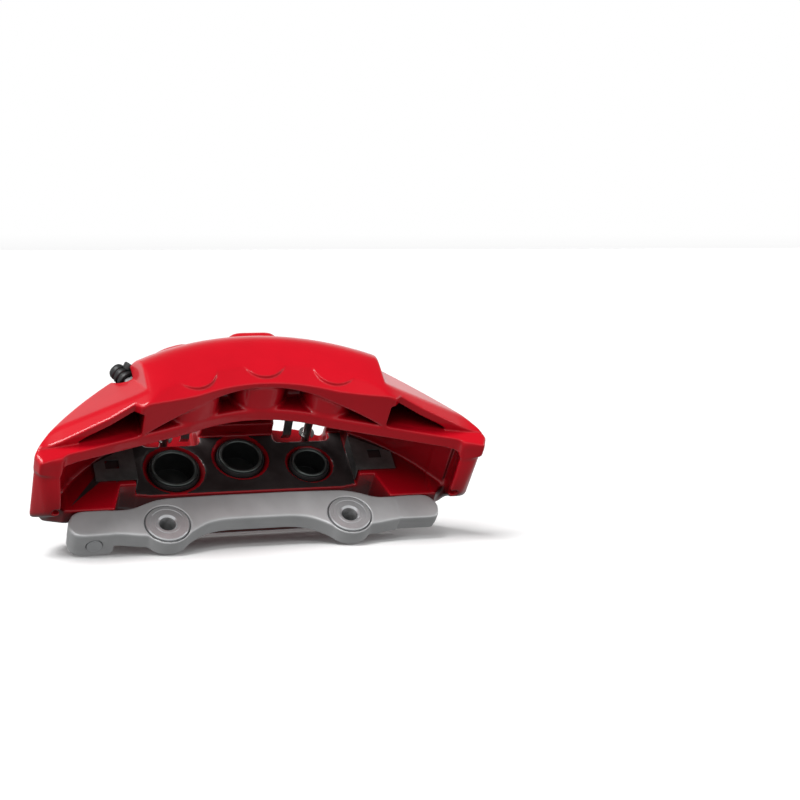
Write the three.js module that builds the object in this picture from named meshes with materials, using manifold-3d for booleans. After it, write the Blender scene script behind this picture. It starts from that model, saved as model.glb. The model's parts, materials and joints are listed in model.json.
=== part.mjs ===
// Six-piston fixed brake caliper with its knuckle bracket, in millimetres, +Z up.
//
// Everything is laid out in the caliper's own axes and leaned back as one group:
//   x  tangential, along the disc's rim
//   y  along the wheel axle, from the outboard half (-) to the inboard half (+)
//   z  radial, measured from the axle
import * as THREE from "three";
import { mergeVertices } from "three/addons/utils/BufferGeometryUtils.js";
import Module from "manifold-3d";

const wasm = await Module();
wasm.setup();

// Driving dimensions
const GAP = 0.3;                   // clearance between pieces that touch
const LEAN = THREE.MathUtils.degToRad(48.7);   // how far the caliper lies back on the floor
const ROOF_R = 206;                // outer radius of the bridge over the disc
const ROOF_IN_R = 195;             // its inner radius, clear of a 380 mm disc
const HALF_IN = 34;                // inner face of each half, from the disc's middle plane
const FRONT = 82;                  // outer face of the outboard half
const BACK = 88;                   // outer face of the inboard half
const END_X = 177;                 // half length
const END_WALL = 15;               // thickness of the walls that close the two ends
const END_Z = 88;                  // lowest point of the end walls
const LIP_Y = 46;                  // outer side of the lip beside the disc

const PISTON_PITCH = 162;          // radius at which the pistons sit
const PISTON_ANGLE = THREE.MathUtils.degToRad(20.4);
const PISTON_LENGTH = 30;
const PISTON_PROUD = 2;            // how far a retracted piston stands out of its face
const BORE_DEPTH = 33;
const SEAL_DEPTH = 8;              // seal groove, from the inner face
const SEAL_WIDTH = 4;
const SEAL_HEIGHT = 3;
const RECESS = 3.2;                // depth of the dished ring around each piston
const PISTONS = [
  { name: "leading", side: -1, radius: 19 },
  { name: "middle", side: 0, radius: 18 },
  { name: "trailing", side: 1, radius: 15 },
];
const HALVES = [
  { name: "outboard", dir: -1 },
  { name: "inboard", dir: 1 },
];
const SIDES = [
  { name: "left", dir: -1 },
  { name: "right", dir: 1 },
];

const ABUT_X = 91;                 // where the pad pocket ends
const ABUT_Y = 21;                 // inner face of the blocks that carry the pads
const PLATE = 0.8;                 // stainless abutment plate

const WINDOW_X0 = 32;
const WINDOW_X1 = 78;
const WINDOW_Y = 46;
const WINDOW_Z = 178;              // the windows cut back the halves' faces above this
const PIN_X = 60;                  // pad retaining pins, one across each window
const PIN_Z = 183;
const PIN_R = 3.5;
const PIN_BLIND = 58;              // how far the pin reaches into the outboard half
const PIN_HEAD_R = 5.5;
const PIN_BOSS_R = 9;
const CLIP_Y = 30;                 // retaining ring on the pin, beside the window's wall
const SPRING_X = 43;
const SPRING_T = 1.2;

const BRACKET_Y0 = 21.4;           // face beside the disc
const BRACKET_Y1 = 37;
const BRACKET_END_Y = 46;          // the ends are thicker than the beam
const BRACKET_TOP_END = 102.6;     // where the ends meet the caliper's lugs
const LOBE_R = 19.4;               // boss around each bush
const BUSH_X = 73.5;
const BUSH_Z = 86;
const BUSH_FLANGE_R = 17;
const BUSH_BARREL_R = 11;
const BUSH_BORE_R = 6.4;
const BUSH_FLANGE = 4;
const BOLT_X = 130;
const BOLT_Y = 34;
const BOLT_R = 6;
const BOLT_SEAT_Z = 148;
const BOLT_HEAD = 11;
const BOLT_HEAD_R = 9;
const BOLT_TIP_Z = { left: 77, right: 91 };    // the left bolt comes through, the right hole is blind
const WASHER = 2;
const WASHER_R = 11;

const BLEED_ANGLE = THREE.MathUtils.degToRad(30.5);
const BLEED_Y = { outboard: -50, inboard: 70 };
const BLEED_R = 4;
const BLEED_SEAT = 190;
const BLEED_BOTTOM = 173;
const PORT_X = 106;                // brake hose port in the inboard half's back
const PORT_Z = 152;
const PORT_R = 5;
const PORT_FACE_R = 10;
const PORT_FACE_DEPTH = 3;
const PORT_DEPTH = 26;
const ROUND = 28;                  // sides of a round piece
const BORE_SIDES = 28;
const SMALL_ROUND = 16;

// Materials
const paint = new THREE.MeshStandardMaterial({ color: 0xd4081c, roughness: 0.22, metalness: 0.1 });
const castAluminium = new THREE.MeshStandardMaterial({ color: 0x9b9b9c, roughness: 0.55, metalness: 0.8 });
const zincSteel = new THREE.MeshStandardMaterial({ color: 0xb9bcc0, roughness: 0.35, metalness: 0.9 });
const stainless = new THREE.MeshStandardMaterial({ color: 0x8f9192, roughness: 0.4, metalness: 0.9 });
const darkPiston = new THREE.MeshStandardMaterial({ color: 0x3a3d3c, roughness: 0.45, metalness: 0.6 });
const rubber = new THREE.MeshStandardMaterial({ color: 0x141414, roughness: 0.75, metalness: 0 });

// Solids
function solid(geometry) {
  const bare = geometry.index ? geometry.toNonIndexed() : geometry.clone();
  bare.deleteAttribute("normal");
  bare.deleteAttribute("uv");
  const merged = mergeVertices(bare, 1e-4);
  return new wasm.Manifold(new wasm.Mesh({
    numProp: 3,
    vertProperties: new Float32Array(merged.attributes.position.array),
    triVerts: new Uint32Array(merged.index.array),
  }));
}

function geometryOf(body) {
  const mesh = body.getMesh();
  const geometry = new THREE.BufferGeometry();
  geometry.setAttribute("position", new THREE.BufferAttribute(new Float32Array(mesh.vertProperties), 3));
  geometry.setIndex(new THREE.BufferAttribute(new Uint32Array(mesh.triVerts), 1));
  geometry.computeVertexNormals();
  return geometry;
}

const joined = (bodies) => bodies.reduce((sum, body) => sum.add(body));
const cut = (body, tools) => tools.reduce((rest, tool) => rest.subtract(tool), body);

function outline(points) {
  return new THREE.Shape(points.map(([a, b]) => new THREE.Vector2(a, b)));
}

function extrude(shape, depth) {
  return new THREE.ExtrudeGeometry(shape, { depth, bevelEnabled: false, curveSegments: 12 });
}

// Outline in x and z, running along y
function alongY(shape, y0, y1) {
  return solid(extrude(shape, y1 - y0).rotateX(Math.PI / 2).translate(0, y1, 0));
}

// Outline in x and y, running along z
function alongZ(shape, z0, z1) {
  return solid(extrude(shape, z1 - z0).translate(0, 0, z0));
}

// Outline in y and z, running along x
function alongX(shape, x0, x1) {
  const turn = new THREE.Matrix4().makeBasis(
    new THREE.Vector3(0, 1, 0), new THREE.Vector3(0, 0, 1), new THREE.Vector3(1, 0, 0));
  return solid(extrude(shape, x1 - x0).applyMatrix4(turn).translate(x0, 0, 0));
}

function box(x0, x1, y0, y1, z0, z1) {
  const size = new THREE.BoxGeometry(x1 - x0, y1 - y0, z1 - z0);
  return solid(size.translate((x0 + x1) / 2, (y0 + y1) / 2, (z0 + z1) / 2));
}

// Round bar along y
function barY(x, z, radius, y0, y1, sides = BORE_SIDES) {
  const bar = new THREE.CylinderGeometry(radius, radius, y1 - y0, sides);
  return solid(bar.translate(x, (y0 + y1) / 2, z));
}

// Round bar along z
function barZ(x, y, radius, z0, z1, sides = ROUND) {
  const bar = new THREE.CylinderGeometry(radius, radius, z1 - z0, sides);
  return solid(bar.rotateX(Math.PI / 2).translate(x, y, (z0 + z1) / 2));
}

// Turned piece around y: the profile is a closed loop of [radius, y], in any direction
function turned(profile, sides = ROUND) {
  const area = profile.reduce((sum, [r0, y0], i) => {
    const [r1, y1] = profile[(i + 1) % profile.length];
    return sum + r0 * y1 - r1 * y0;
  }, 0);
  const loop = area > 0 ? profile : [...profile].reverse();
  const onAxis = loop.some(([radius]) => radius === 0);
  const start = onAxis ? loop.findIndex(([radius], i) => {
    return radius === 0 && loop[(i + 1) % loop.length][0] > 0;
  }) : 0;
  const ordered = loop.map((_, i) => loop[(start + i) % loop.length]);
  const points = (onAxis ? ordered : [...ordered, ordered[0]]).map(([r, y]) => new THREE.Vector2(r, y));
  return new THREE.LatheGeometry(points, sides);
}

const mirrorX = (points) => points.map(([x, z]) => [-x, z]).reverse();

function arcPoints(radius, x0, x1, steps) {
  return Array.from({ length: steps + 1 }, (_, i) => {
    const x = x0 + (x1 - x0) * i / steps;
    return [x, Math.sqrt(radius * radius - x * x)];
  });
}

function pistonCentre(piston) {
  const angle = piston.side * PISTON_ANGLE;
  return [PISTON_PITCH * Math.sin(angle), PISTON_PITCH * Math.cos(angle)];
}

// Caliper body, one casting: two halves joined over the disc by the roof and the end walls
const LIP_MID_R = 139;
const LIP_TURN_X = 48;

function lowerEdge() {
  const arc = arcPoints(LIP_MID_R, 0, LIP_TURN_X, 4);
  const right = [...arc, [164, 98], [END_X, END_Z + 4]];
  return [...mirrorX(right).slice(0, -1), ...right];
}

// Rounded outer limit of the casting, turned about the axle
function crown() {
  const profile = [
    [0, -FRONT - 1], [174, -FRONT - 1], [180, -FRONT + 1], [188, -FRONT + 4], [197, -FRONT + 12],
    [203.5, -FRONT + 22], [ROOF_R, -FRONT + 32], [ROOF_R, BACK - 30], [202, BACK - 16],
    [193, BACK - 5], [183, BACK + 1], [0, BACK + 1],
  ];
  return solid(turned(profile, 96));
}

function outboardHalf() {
  const top = arcPoints(ROOF_R + 2, END_X, -END_X, 12);
  const face = alongY(outline([...lowerEdge(), ...top]), -FRONT, -HALF_IN + 1);
  const side = [[91, -FRONT + 1], [100, -FRONT + 4], [168, -LIP_Y], [END_X - 3, -LIP_Y]];
  const plan = [[-80, -FRONT], [80, -FRONT], ...side, [END_X - 3, 0], [3 - END_X, 0], ...mirrorX(side)];
  const half = face.intersect(alongZ(outline(plan), 60, 230));
  const chamfer = outline([[-FRONT - 1, 156], [-FRONT - 1, 120], [-FRONT + 5, 120]]);
  return half.subtract(alongX(chamfer, -END_X, END_X));
}

// Oblique facet that takes the arm's upper edge down towards the end
const FACET_NORMAL = new THREE.Vector3(0.413, -0.8, 0.436);
const FACET_D = 160;
const FACET_X = 94;                // the panel between the arms stays whole

function armFacet(dir, distance) {
  const normal = FACET_NORMAL.clone().setX(dir * FACET_NORMAL.x).normalize();
  const turn = new THREE.Quaternion().setFromUnitVectors(new THREE.Vector3(0, 0, 1), normal);
  const block = new THREE.BoxGeometry(500, 500, 100).translate(0, 0, distance + 50);
  const [x0, x1] = dir > 0 ? [FACET_X, 300] : [-300, -FACET_X];
  const beside = box(x0, x1, -300, 300, -300, 500);
  return solid(block.applyQuaternion(turn)).intersect(beside);
}

// Long groove between the front flange and the lip, widest in the middle
function groove() {
  const plan = new THREE.Shape();
  plan.moveTo(-92, -LIP_Y);
  plan.quadraticCurveTo(-50, -70, 0, -70);
  plan.quadraticCurveTo(50, -70, 92, -LIP_Y);
  plan.closePath();
  const pocket = alongZ(plan, 100, 156);
  const housings = PISTONS.map((piston) => {
    const [x, z] = pistonCentre(piston);
    return barY(x, z, Math.max(21.5, piston.radius + 4.2), -FRONT, -HALF_IN);
  });
  return cut(pocket, housings);
}

// Room under each outboard arm, which leaves a slanting strut in front of the lip
const STRUT_T = 7;

function armHollow(dir) {
  const below = [
    [98, 60], [98, 117], [104, 121.2], [122, 115.6], [142, 112], [168, 107.6], [182, 105], [182, 60],
  ];
  const behind = [[97, -LIP_Y], [97, -70], [104, -68], [140, -50.5], [146, -LIP_Y]];
  const [front, plan] = [below, behind].map((points) => outline(dir > 0 ? points : mirrorX(points)));
  const hollow = alongZ(plan, 60, 200).subtract(armFacet(dir, FACET_D - STRUT_T));
  return hollow.add(alongY(front, -FRONT - 1, -LIP_Y));
}

// Height at which the inboard half's back edge meets the floor that the bracket's bosses stand on
function backEdge() {
  const boss = (BUSH_Z - LOBE_R) * Math.cos(LEAN) - BRACKET_Y1 * Math.sin(LEAN);
  return (boss + BACK * Math.sin(LEAN)) / Math.cos(LEAN);
}

function inboardHalf() {
  const top = arcPoints(ROOF_R + 2, 150, -150, 12);
  const low = backEdge();
  const floor = [[-150, 136], [-112, 131], [-78, low], [78, low], [112, 131], [150, 136]];
  const block = alongY(outline([...floor, ...top]), HALF_IN, BACK);
  const backPlan = [[-150, 0], [-150, 60], [-118, BACK], [118, BACK], [150, 60], [150, 0]];
  return block.intersect(alongZ(outline(backPlan), 60, 230));
}

// Lug that the bracket bolts to, with the block that the pads bear on
function lug(dir) {
  const top = arcPoints(ROOF_R + 2, 164, ABUT_X, 6);
  const foot = BRACKET_TOP_END + GAP;
  const shape = [[ABUT_X, 127], [104, 127], [112, foot], [151, foot], [164, 118], ...top];
  return alongY(outline(dir > 0 ? shape : mirrorX(shape)), ABUT_Y, 50);
}

// The lug's outer back corner is cut away
function lugRelief(dir) {
  const [x0, x1] = dir > 0 ? [142, 180] : [-180, -142];
  return alongX(outline([[33, 100], [62, 100], [62, 131]]), x0, x1);
}

// Block in the outboard half that the outer pad bears on
function outboardBlock(dir) {
  const shape = [[ABUT_X, 140], [118, 140], [118, 166], [ABUT_X, 176]];
  return alongY(outline(dir > 0 ? shape : mirrorX(shape)), -HALF_IN - 1, -ABUT_Y);
}

// Wall that closes one end; its foot rises towards the back
function endWall(dir) {
  const inner = END_X - END_WALL;
  const shape = [
    [inner - 8, END_Z], [END_X - 12, END_Z], [END_X, 101], [END_X, 106], [164, 124], [152, 139],
    [inner - 14, 139], [inner - 14, 132], [inner, 120], [inner, 106],
  ];
  const side = [
    [-LIP_Y, 97], [-HALF_IN, 96], [0, END_Z + 1], [8, END_Z], [15, END_Z + 5], [50, 124],
    [50, 150], [-LIP_Y, 150],
  ];
  const wall = alongY(outline(dir > 0 ? shape : mirrorX(shape)), -LIP_Y, 50);
  return wall.intersect(alongX(outline(side), -END_X - 1, END_X + 1));
}

function roof() {
  const top = arcPoints(ROOF_R + 2, 162, -162, 12);
  const under = arcPoints(ROOF_IN_R, -158, 158, 30);
  return alongY(outline([...under, ...top]), -HALF_IN, 60);
}

// Raised forms on the roof: the middle tower, the pin bosses and the shoulders beside the windows
function roofForms() {
  const tower = [[-27, 190], [27, 190], [15, 214], [-15, 214]];
  const boss = [[43, 185], [84, 180], [79, 190], [70, 198], [50, 204.5]];
  const shoulder = [[74, 176], [100, 160], [96, 190], [80, 199]];
  const paired = SIDES.flatMap((side) => [
    alongY(outline(side.dir > 0 ? boss : mirrorX(boss)), -58, -42),
    alongY(outline(side.dir > 0 ? boss : mirrorX(boss)), 42, 60),
    alongY(outline(side.dir > 0 ? shoulder : mirrorX(shoulder)), -40, 52),
    barY(side.dir * PIN_X, PIN_Z, PIN_BOSS_R, 60, BACK),
  ]);
  return joined([alongY(outline(tower), -57, 52), ...paired]);
}

function windowCut(dir) {
  const x0 = Math.min(dir * WINDOW_X0, dir * WINDOW_X1);
  const x1 = x0 + WINDOW_X1 - WINDOW_X0;
  const over = box(x0, x1, -WINDOW_Y, WINDOW_Y, WINDOW_Z, 240);
  return over.add(box(x0, x1, -HALF_IN, HALF_IN, 120, 240));
}

// Stepped bore: dished recess, bore and seal groove
function pistonBore(piston, half) {
  const [x, z] = pistonCentre(piston);
  const r = piston.radius + GAP;
  const rim = half.dir > 0 ? piston.radius * 1.375 : piston.radius + 4.2;
  const groove0 = SEAL_DEPTH;
  const groove1 = SEAL_DEPTH + SEAL_WIDTH + 2 * GAP;
  const profile = [
    [0, -1], [rim, -1], [rim, 0], [piston.radius + 3.4, RECESS], [piston.radius + 3.4, 5], [r, 5],
    [r, groove0], [r + SEAL_HEIGHT + GAP, groove0], [r + SEAL_HEIGHT + GAP, groove1], [r, groove1],
    [r, BORE_DEPTH], [0, BORE_DEPTH],
  ];
  const along = profile.map(([radius, depth]) => [radius, half.dir * (HALF_IN + depth)]);
  return solid(turned(along, BORE_SIDES).translate(x, 0, z));
}

function boltHole(dir) {
  return joined([
    barZ(dir * BOLT_X, BOLT_Y, BOLT_R + 0.6, 90, 240),
    barZ(dir * BOLT_X, BOLT_Y, WASHER_R + 1.5, BOLT_SEAT_Z, 240),
  ]);
}

// Direction of a bleed screw, radial at its own angle
function radial(angle) {
  return new THREE.Vector3(Math.sin(angle), 0, Math.cos(angle));
}

function radialPiece(geometry, angle, y, radius) {
  const turn = new THREE.Quaternion().setFromUnitVectors(new THREE.Vector3(0, 1, 0), radial(angle));
  const place = radial(angle).multiplyScalar(radius);
  return geometry.applyQuaternion(turn).translate(place.x, y, place.z);
}

function bleedHole(half) {
  const radius = BLEED_R + GAP;
  const bar = new THREE.CylinderGeometry(radius, radius, 60, SMALL_ROUND).translate(0, 30, 0);
  const flat = new THREE.CylinderGeometry(9, 9, 40, ROUND).translate(0, 20, 0);
  const spot = solid(radialPiece(flat, -BLEED_ANGLE, BLEED_Y[half.name], BLEED_SEAT));
  return spot.add(solid(radialPiece(bar, -BLEED_ANGLE, BLEED_Y[half.name], BLEED_BOTTOM)));
}

function caliperBody() {
  const casting = joined([
    outboardHalf(), inboardHalf(), roof(),
    ...SIDES.map((side) => lug(side.dir)),
    ...SIDES.map((side) => outboardBlock(side.dir)),
    ...SIDES.map((side) => endWall(side.dir)),
  ]);
  const faceted = cut(casting.intersect(crown()), SIDES.map((side) => armFacet(side.dir, FACET_D)));
  const mass = faceted.add(roofForms());
  const discSlot = alongY(outline(arcPoints(ROOF_IN_R, -148, 148, 24).concat([[148, 60], [-148, 60]])),
    -HALF_IN, ABUT_Y);
  const padPocket = box(-ABUT_X, ABUT_X, ABUT_Y - 1, HALF_IN, 60, 186);
  const pinHoles = SIDES.map((side) => {
    return barY(side.dir * PIN_X, PIN_Z, PIN_R + GAP, -PIN_BLIND - 2, BACK + 2, SMALL_ROUND);
  });
  const port = barY(PORT_X, PORT_Z, PORT_R + GAP, BACK - PORT_DEPTH, BACK + 2, SMALL_ROUND);
  const portFace = barY(PORT_X, PORT_Z, PORT_FACE_R, BACK - PORT_FACE_DEPTH, BACK + 2);
  return cut(mass, [
    discSlot, padPocket, groove(), port, portFace,
    ...SIDES.map((side) => armHollow(side.dir)),
    ...SIDES.map((side) => lugRelief(side.dir)),
    ...SIDES.map((side) => windowCut(side.dir)),
    ...SIDES.map((side) => boltHole(side.dir)),
    ...HALVES.flatMap((half) => PISTONS.map((piston) => pistonBore(piston, half))),
    ...HALVES.map((half) => bleedHole(half)),
    ...pinHoles,
  ]);
}

// Pistons and their rubber
function pistonGeometry(piston, half) {
  const [x, z] = pistonCentre(piston);
  const r = piston.radius;
  const cup = r * 0.85;
  const profile = [
    [0, PISTON_LENGTH], [r - 1, PISTON_LENGTH], [r, PISTON_LENGTH - 1], [r, 4.4], [r - 1.4, 4.2],
    [r - 1.4, 2.4], [r, 2.2], [r, 0.6], [r - 0.6, 0], [cup, 0], [cup, 20], [0, 20],
  ];
  const along = profile.map(([radius, depth]) => [radius, half.dir * (HALF_IN - PISTON_PROUD + depth)]);
  return turned(along).translate(x, 0, z);
}

function sealGeometry(piston, half) {
  const [x, z] = pistonCentre(piston);
  const inner = piston.radius + GAP;
  const near = HALF_IN + SEAL_DEPTH + GAP;
  const profile = [
    [inner, near], [inner + SEAL_HEIGHT, near], [inner + SEAL_HEIGHT, near + SEAL_WIDTH],
    [inner, near + SEAL_WIDTH],
  ];
  return turned(profile.map(([radius, y]) => [radius, half.dir * y])).translate(x, 0, z);
}

function bootGeometry(piston, half) {
  const [x, z] = pistonCentre(piston);
  const r = piston.radius;
  const profile = [
    [r + 0.35, -0.6], [r + 1.6, -0.6], [r + 3.1, 2.2], [r + 3.1, 4.7], [r + 1.6, 4.7],
    [r + 1.6, 2.6], [r + 0.35, 1.0],
  ];
  return turned(profile.map(([radius, depth]) => [radius, half.dir * (HALF_IN + depth)])).translate(x, 0, z);
}

// Bracket between the caliper and the steering knuckle
function bracketOutline() {
  const lobe = Array.from({ length: 7 }, (_, i) => {
    const angle = THREE.MathUtils.degToRad(-145 + i * 110 / 6);
    return [BUSH_X + LOBE_R * Math.cos(angle), BUSH_Z + LOBE_R * Math.sin(angle)];
  });
  const lower = [[28, 87.5], [41, 85], [51, 79.5], ...lobe, [96, 75.5], [112, 78.5], [140, 77.5], [147, 80]];
  const upper = [
    [150, 90], [146, 99], [140, BRACKET_TOP_END], [99, BRACKET_TOP_END], [84, 109.5], [72, 112],
    [30, 113],
  ];
  const right = [...lower, ...upper];
  return outline([...right, ...mirrorX(right)]);
}

function mountingBracket() {
  const beam = alongY(bracketOutline(), BRACKET_Y0, BRACKET_Y1);
  const ends = SIDES.map((side) => {
    const shape = [
      [114, 78], [140, 77.5], [147, 80], [150, 90], [146, 99], [140, BRACKET_TOP_END],
      [114, BRACKET_TOP_END],
    ];
    return alongY(outline(side.dir > 0 ? shape : mirrorX(shape)), BRACKET_Y0, BRACKET_END_Y);
  });
  const bushHoles = SIDES.flatMap((side) => [
    barY(side.dir * BUSH_X, BUSH_Z, BUSH_BARREL_R + GAP, BRACKET_Y0 - 1, BRACKET_Y1 + 1),
    barY(side.dir * BUSH_X, BUSH_Z, BUSH_FLANGE_R + 1, BRACKET_Y0 - 1, BRACKET_Y0 + BUSH_FLANGE),
  ]);
  const boltHoles = SIDES.map((side) => {
    const bottom = side.dir < 0 ? 60 : BOLT_TIP_Z.right - 1;
    return barZ(side.dir * BOLT_X, BOLT_Y, BOLT_R + GAP, bottom, 120);
  });
  const slope = [
    [BRACKET_Y0 + 1, 70], [BRACKET_END_Y + 1, 70], [BRACKET_END_Y + 1, 88.5], [BRACKET_Y0 + 1, 77.6],
  ];
  const underside = alongX(outline(slope), 114, 160);
  return cut(joined([beam, ...ends]), [...bushHoles, ...boltHoles, underside]);
}

function bushGeometry(dir) {
  const y0 = BRACKET_Y0 - 0.8;
  const y1 = BRACKET_Y0 + BUSH_FLANGE - GAP;
  const profile = [
    [BUSH_BORE_R + 1.2, y0], [BUSH_FLANGE_R - 0.6, y0], [BUSH_FLANGE_R, y0 + 0.6], [BUSH_FLANGE_R, y1],
    [BUSH_BARREL_R, y1], [BUSH_BARREL_R, BRACKET_Y1 - 0.4], [BUSH_BORE_R, BRACKET_Y1 - 0.4],
    [BUSH_BORE_R, y0 + 1.2],
  ];
  return turned(profile).translate(dir * BUSH_X, 0, BUSH_Z);
}

// Radial bolt: flanged hexagon head on top, shank down into the bracket
function boltGeometry(side) {
  const x = side.dir * BOLT_X;
  const seat = BOLT_SEAT_Z + WASHER + 2 * GAP;
  const hexagon = new THREE.CylinderGeometry(BOLT_HEAD_R, BOLT_HEAD_R, BOLT_HEAD, 6);
  const head = solid(hexagon.rotateX(Math.PI / 2).translate(x, BOLT_Y, seat + BOLT_HEAD / 2));
  return geometryOf(head.add(barZ(x, BOLT_Y, BOLT_R, BOLT_TIP_Z[side.name], seat + 1)));
}

function washerGeometry(dir) {
  const z0 = BOLT_SEAT_Z + GAP;
  const profile = [[BOLT_R + 0.5, 0], [WASHER_R, 0], [WASHER_R, WASHER], [BOLT_R + 0.5, WASHER]];
  return turned(profile).rotateX(Math.PI / 2).translate(dir * BOLT_X, BOLT_Y, z0);
}

// Pad retaining pin: head at the back, blind in the outboard half so that the face stays whole
function pinGeometry(dir) {
  const head = barY(dir * PIN_X, PIN_Z, PIN_HEAD_R, BACK + GAP, BACK + 3, 20);
  return geometryOf(head.add(barY(dir * PIN_X, PIN_Z, PIN_R, -PIN_BLIND, BACK + 1, 20)));
}

// Retaining ring, open on one side
function clipGeometry(dir) {
  const ring = barY(dir * PIN_X, PIN_Z, 6.5, CLIP_Y, CLIP_Y + 1.4, 20);
  const bore = barY(dir * PIN_X, PIN_Z, PIN_R + GAP, CLIP_Y - 1, CLIP_Y + 3, 20);
  const mouth = box(dir * PIN_X - 2.6, dir * PIN_X + 2.6, CLIP_Y - 1, CLIP_Y + 3, PIN_Z - 9, PIN_Z);
  return geometryOf(cut(ring, [bore, mouth]));
}

// Anti-rattle spring: a saddle hooked over the pin carries one long bowed leaf
function springGeometry(dir) {
  const top = PIN_Z + PIN_R + GAP;
  const line = [[-38, top - 2], [-32, top - 4.5], [-7, top], [7, top], [32, top - 4.5], [38, top - 2]];
  const bow = [...line, ...line.map(([y, z]) => [y, z + SPRING_T]).reverse()];
  const leaf = alongX(outline(bow), dir * SPRING_X - 3.5, dir * SPRING_X + 3.5);
  const far = PIN_X + PIN_R + GAP;
  const near = SPRING_X - 3.5;
  const saddle = [
    [near, top], [far, top], [far, PIN_Z - 2], [far + SPRING_T, PIN_Z - 2],
    [far + SPRING_T, top + SPRING_T], [near, top + SPRING_T],
  ];
  return geometryOf(leaf.add(alongY(outline(dir > 0 ? saddle : mirrorX(saddle)), -7, 7)));
}

// Stainless plate on the block that takes the pad's push, bent round the block's corner
function abutmentGeometry(side, half) {
  const inboard = half.dir > 0;
  const [z0, z1, reach] = inboard ? [131, 168, 32] : [142, 166, 22];
  const corner = ABUT_X - GAP;
  const face = ABUT_Y - GAP;
  const under = ROOF_IN_R - 2;
  const cover = (x) => Math.min(z1, Math.sqrt(under * under - x * x));
  const far = ABUT_X + reach;
  const edge = [[corner - PLATE, z0], [far, z0], [far, cover(far)], [corner - PLATE, z1]];
  const front = outline(side.dir > 0 ? edge : mirrorX(edge));
  const leg = [side.dir * corner, side.dir * (corner - PLATE)].sort((a, b) => a - b);
  const spanY = (a, b) => (inboard ? [a, b] : [-b, -a]);
  const [f0, f1] = spanY(face - PLATE, face);
  const [l0, l1] = spanY(face - PLATE, HALF_IN - 1);
  const plate = alongY(front, f0, f1).add(box(leg[0], leg[1], l0, l1, z0, z1));
  if (!inboard) {
    return geometryOf(plate);
  }
  const slot = [103, 114].map((x) => side.dir * x).sort((a, b) => a - b);
  return geometryOf(plate.subtract(box(slot[0], slot[1], f0 - 1, f1 + 1, 143, 152)));
}

// Bleed screw: threaded shank, hexagon and nipple
function bleedScrewGeometry(half) {
  const shank = new THREE.CylinderGeometry(BLEED_R, BLEED_R, 16, SMALL_ROUND).translate(0, -7, 0);
  const hexagon = new THREE.CylinderGeometry(5.5, 5.5, 6, 6).translate(0, 3.6, 0);
  const nipple = new THREE.CylinderGeometry(2.6, 3.4, 12, SMALL_ROUND).translate(0, 12, 0);
  const body = joined([solid(shank), solid(hexagon), solid(nipple)]);
  return radialPiece(geometryOf(body), -BLEED_ANGLE, BLEED_Y[half.name], BLEED_SEAT + GAP);
}

// Rubber cap over the nipple
function bleedCapGeometry(half) {
  const profile = [
    [4, 7.4], [7, 7.4], [7, 10.5], [6, 11], [6, 20], [4, 22], [0, 22], [0, 19], [3.8, 19],
  ];
  return radialPiece(turned(profile, 20), -BLEED_ANGLE, BLEED_Y[half.name], BLEED_SEAT + GAP);
}

// Transport plug in the hose port
function portPlugGeometry() {
  const face = BACK - PORT_FACE_DEPTH;
  const head = barY(PORT_X, PORT_Z, 8.5, face + GAP, face + 8, 6);
  const shank = barY(PORT_X, PORT_Z, PORT_R, face - 12, face + 1, SMALL_ROUND);
  return geometryOf(head.add(shank));
}

const caliper = new THREE.Group();
caliper.rotation.x = -LEAN;

function addPiece(name, geometry, material) {
  const mesh = new THREE.Mesh(geometry, material);
  mesh.name = name;
  caliper.add(mesh);
}

addPiece("caliper_body", geometryOf(caliperBody()), paint);
addPiece("mounting_bracket", geometryOf(mountingBracket()), castAluminium);
for (const half of HALVES) {
  for (const piston of PISTONS) {
    addPiece(`piston_${half.name}_${piston.name}`, pistonGeometry(piston, half), darkPiston);
    addPiece(`seal_${half.name}_${piston.name}`, sealGeometry(piston, half), rubber);
    addPiece(`boot_${half.name}_${piston.name}`, bootGeometry(piston, half), rubber);
  }
  for (const side of SIDES) {
    addPiece(`abutment_${half.name}_${side.name}`, abutmentGeometry(side, half), stainless);
  }
  addPiece(`bleed_screw_${half.name}`, bleedScrewGeometry(half), zincSteel);
  addPiece(`bleed_cap_${half.name}`, bleedCapGeometry(half), rubber);
}
for (const side of SIDES) {
  addPiece(`bracket_bush_${side.name}`, bushGeometry(side.dir), zincSteel);
  addPiece(`radial_bolt_${side.name}`, boltGeometry(side), zincSteel);
  addPiece(`bolt_washer_${side.name}`, washerGeometry(side.dir), zincSteel);
  addPiece(`pad_pin_${side.name}`, pinGeometry(side.dir), stainless);
  addPiece(`pin_clip_${side.name}`, clipGeometry(side.dir), stainless);
  addPiece(`pad_spring_${side.name}`, springGeometry(side.dir), stainless);
}
addPiece("hose_port_plug", portPlugGeometry(), rubber);

const part = new THREE.Group();
part.add(caliper);
part.updateMatrixWorld(true);
const bounds = new THREE.Box3().setFromObject(part, true);
const middle = bounds.getCenter(new THREE.Vector3());
caliper.position.set(-middle.x, -middle.y, -bounds.min.z);

export default part;
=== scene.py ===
"""Looks of the six-piston brake caliper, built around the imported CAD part.

Shapes are worked out in millimetres in the caliper's own axes: x along the disc's rim, y along the axle with
the outboard half at -y, and z away from the axle. They are turned into the row frame as each mesh is made.
"""

import json
import math

import bpy
import bmesh
import numpy as np
import openvdb
from mathutils import Matrix, Vector


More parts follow.
